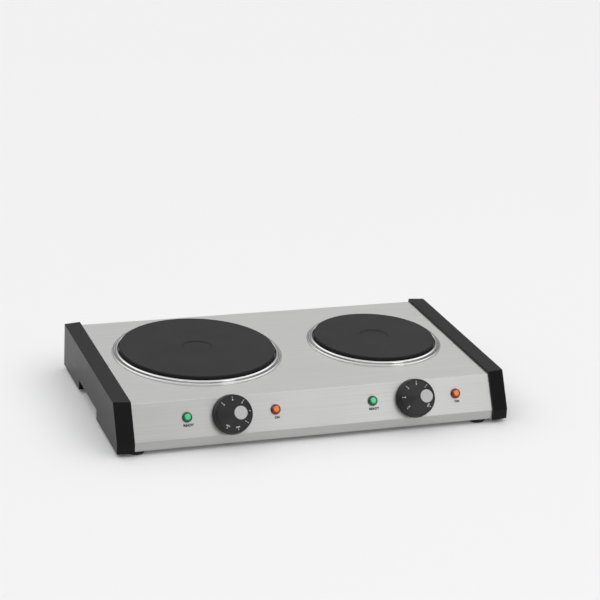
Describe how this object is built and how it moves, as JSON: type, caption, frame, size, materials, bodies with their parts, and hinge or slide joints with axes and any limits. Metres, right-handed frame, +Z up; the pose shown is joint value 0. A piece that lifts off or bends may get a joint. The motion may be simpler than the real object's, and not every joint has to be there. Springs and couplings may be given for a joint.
{
  "type": "countertop hot plate",
  "caption": "Low countertop hot plate: brushed steel housing between black end caps, a large and a small cast-iron plate in bright rings, dials and indicator lamps on a leaning panel.",
  "frame": {"origin": "middle of the footprint on the table, dials included", "axes": "+X to the right of the person who cooks, +Y to the back, +Z up"},
  "size_m": [0.495, 0.2921, 0.0655],
  "materials": {
    "brass": "turned",
    "bright_trim": "polished",
    "brushed_stainless": "brushed along the width",
    "cap_plastic": "satin moulded",
    "cast_iron_coat": "matt black heat-proof coat",
    "ceramic_white": "glazed",
    "gland_nylon": "moulded",
    "green_lens": "clear tinted, lit",
    "knob_plastic": "satin moulded",
    "lamp_glass": "clear",
    "orange_lens": "clear tinted, lit",
    "refractory": "matt",
    "resistance_wire": "oxidised",
    "rubber": "matt",
    "screw_steel": "zinc plated",
    "spot_paint": "matt",
    "terminal_nylon": "moulded",
    "wire_sleeve": "glass-fibre braid",
    "zinc_steel": "zinc plated"
  },
  "bodies": {
    "root": {"base_plate": "zinc_steel", "base_screws": "screw_steel", "cap_screws": "screw_steel", "centre_studs": "screw_steel", "coil_crimps": "brass", "cord_gland": "gland_nylon", "foot_screws": "screw_steel", "left_bulkhead": "zinc_steel", "left_cast_plate": "cast_iron_coat", "left_clamp_bridge": "zinc_steel", "left_coil_bed": "refractory", "left_coil_cover": "zinc_steel", "left_end_cap": "cap_plastic", "left_front_foot": "rubber", "left_heat_shield": "zinc_steel", "left_heating_coil": "resistance_wire", "left_lead_beads": "ceramic_white", "left_on_lens": "orange_lens", "left_plate_leads": "wire_sleeve", "left_ready_lens": "green_lens", "left_rear_foot": "rubber", "left_thermostat_body": "ceramic_white", "left_thermostat_bush": "brass", "left_thermostat_frame": "zinc_steel", "left_trim_ring": "bright_trim", "lens_clips": "screw_steel", "neon_lamps": "lamp_glass", "right_bulkhead": "zinc_steel", "right_cast_plate": "cast_iron_coat", "right_clamp_bridge": "zinc_steel", "right_coil_bed": "refractory", "right_coil_cover": "zinc_steel", "right_end_cap": "cap_plastic", "right_front_foot": "rubber", "right_heat_shield": "zinc_steel", "right_heating_coil": "resistance_wire", "right_lead_beads": "ceramic_white", "right_on_lens": "orange_lens", "right_plate_leads": "wire_sleeve", "right_ready_lens": "green_lens", "right_rear_foot": "rubber", "right_thermostat_body": "ceramic_white", "right_thermostat_bush": "brass", "right_thermostat_frame": "zinc_steel", "right_trim_ring": "bright_trim", "stud_nuts": "screw_steel", "stud_spacers": "zinc_steel", "supply_leads": "wire_sleeve", "supply_terminal": "terminal_nylon", "tab_connectors": "brass", "thermostat_screws": "screw_steel", "thermostat_tabs": "brass", "top_housing": "brushed_stainless"},
    "left_dial": {"left_knob": "knob_plastic", "left_knob_spot": "spot_paint", "left_spindle": "screw_steel"},
    "right_dial": {"right_knob": "knob_plastic", "right_knob_spot": "spot_paint", "right_spindle": "screw_steel"}
  },
  "joints": [
    {"name": "left_dial_turn", "type": "hinge", "parent": "root", "child": "left_dial", "pos_m": [-0.107, -0.12508, 0.0375], "axis": [0, -0.8746, 0.4848], "range_deg": [-43, 216]},
    {"name": "right_dial_turn", "type": "hinge", "parent": "root", "child": "right_dial", "pos_m": [0.1255, -0.12508, 0.0375], "axis": [0, -0.8746, 0.4848], "range_deg": [-130, 129]}
  ]
}
